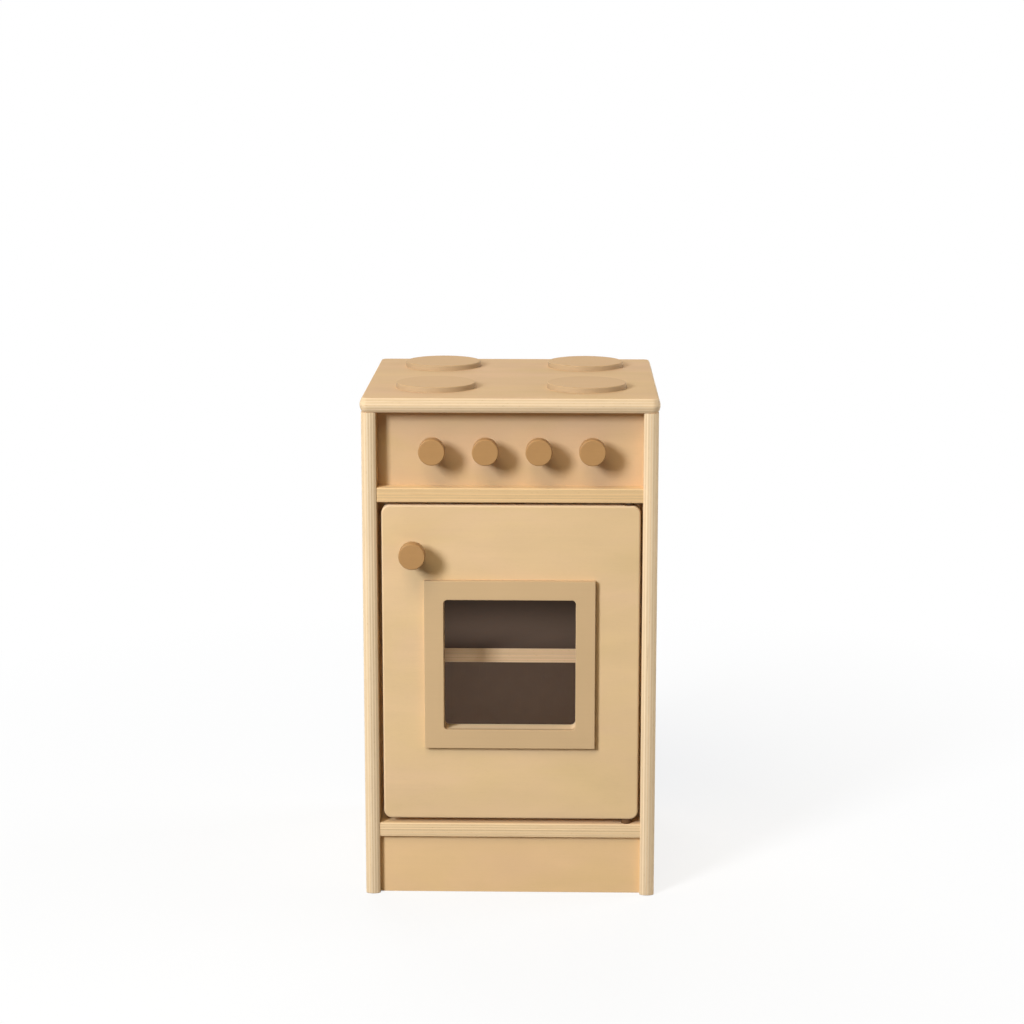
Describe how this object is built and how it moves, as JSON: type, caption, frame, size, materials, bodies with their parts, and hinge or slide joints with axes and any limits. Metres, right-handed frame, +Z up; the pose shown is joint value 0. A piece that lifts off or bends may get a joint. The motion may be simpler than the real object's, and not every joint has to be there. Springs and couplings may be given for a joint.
{
  "type": "toy oven",
  "caption": "Birch plywood play-kitchen oven: hob with raised round burners, recessed panel of turning knobs, hinged door with open framed window over a shelf.",
  "frame": {"origin": "middle of the bounding box, on the floor", "axes": "+Z up, -Y towards the child in front of the door, +X to that child's right"},
  "size_m": [0.303, 0.311, 0.5295],
  "materials": {
    "birch_plywood": "clear matt lacquer, layered edges bare",
    "film_faced_plywood": "smooth dark brown film on both faces, edges bare",
    "birch_wood": "clear matt lacquer",
    "beech_knobs": "satin lacquer",
    "zinc_plated_steel": "bright zinc plate",
    "nylon": "brown",
    "felt": "pressed wool felt",
    "nickel_plated_magnet": "nickel plate"
  },
  "bodies": {
    "carcass": {"side_panel_left": "birch_plywood", "side_panel_right": "birch_plywood", "top_board": "birch_plywood", "middle_board": "birch_plywood", "bottom_board": "birch_plywood", "kick_board": "birch_plywood", "control_panel": "birch_plywood", "inner_shelf": "film_faced_plywood", "back_panel": "film_faced_plywood", "carcass_dowels": "birch_wood", "shelf_pins": "birch_wood", "back_screws": "zinc_plated_steel", "burner_front_left": "birch_wood", "burner_front_right": "birch_wood", "burner_rear_left": "birch_wood", "burner_rear_right": "birch_wood", "burner_dowels": "birch_wood", "door_pivot_pins": "zinc_plated_steel", "door_thrust_washer": "nylon", "door_stop": "birch_plywood", "door_stop_magnet": "nickel_plated_magnet", "knob_felt_washers": "felt", "knob_steel_washers": "zinc_plated_steel"},
    "door": {"door_panel": "birch_plywood", "window_frame": "birch_wood", "door_knob": "beech_knobs", "door_knob_screw": "zinc_plated_steel", "door_knob_washer": "zinc_plated_steel", "door_bushes": "nylon", "strike_disc": "zinc_plated_steel", "strike_screw": "zinc_plated_steel"},
    "control_knob_1": {"knob_1": "beech_knobs", "knob_stud_1": "zinc_plated_steel", "knob_nut_1": "zinc_plated_steel"},
    "control_knob_2": {"knob_2": "beech_knobs", "knob_stud_2": "zinc_plated_steel", "knob_nut_2": "zinc_plated_steel"},
    "control_knob_3": {"knob_3": "beech_knobs", "knob_stud_3": "zinc_plated_steel", "knob_nut_3": "zinc_plated_steel"},
    "control_knob_4": {"knob_4": "beech_knobs", "knob_stud_4": "zinc_plated_steel", "knob_nut_4": "zinc_plated_steel"}
  },
  "joints": [
    {"name": "door_hinge", "type": "hinge", "parent": "carcass", "child": "door", "pos_m": [0.1207, -0.1215, 0.24775], "axis": [0, 0, 1], "range_deg": [0, 120]},
    {"name": "control_knob_1_turn", "type": "hinge", "parent": "carcass", "child": "control_knob_1", "pos_m": [-0.0785, -0.113, 0.47025], "axis": [0, 1, 0], "continuous": true},
    {"name": "control_knob_2_turn", "type": "hinge", "parent": "carcass", "child": "control_knob_2", "pos_m": [-0.0245, -0.113, 0.47025], "axis": [0, 1, 0], "continuous": true},
    {"name": "control_knob_3_turn", "type": "hinge", "parent": "carcass", "child": "control_knob_3", "pos_m": [0.0295, -0.113, 0.47025], "axis": [0, 1, 0], "continuous": true},
    {"name": "control_knob_4_turn", "type": "hinge", "parent": "carcass", "child": "control_knob_4", "pos_m": [0.0835, -0.113, 0.47025], "axis": [0, 1, 0], "continuous": true}
  ]
}
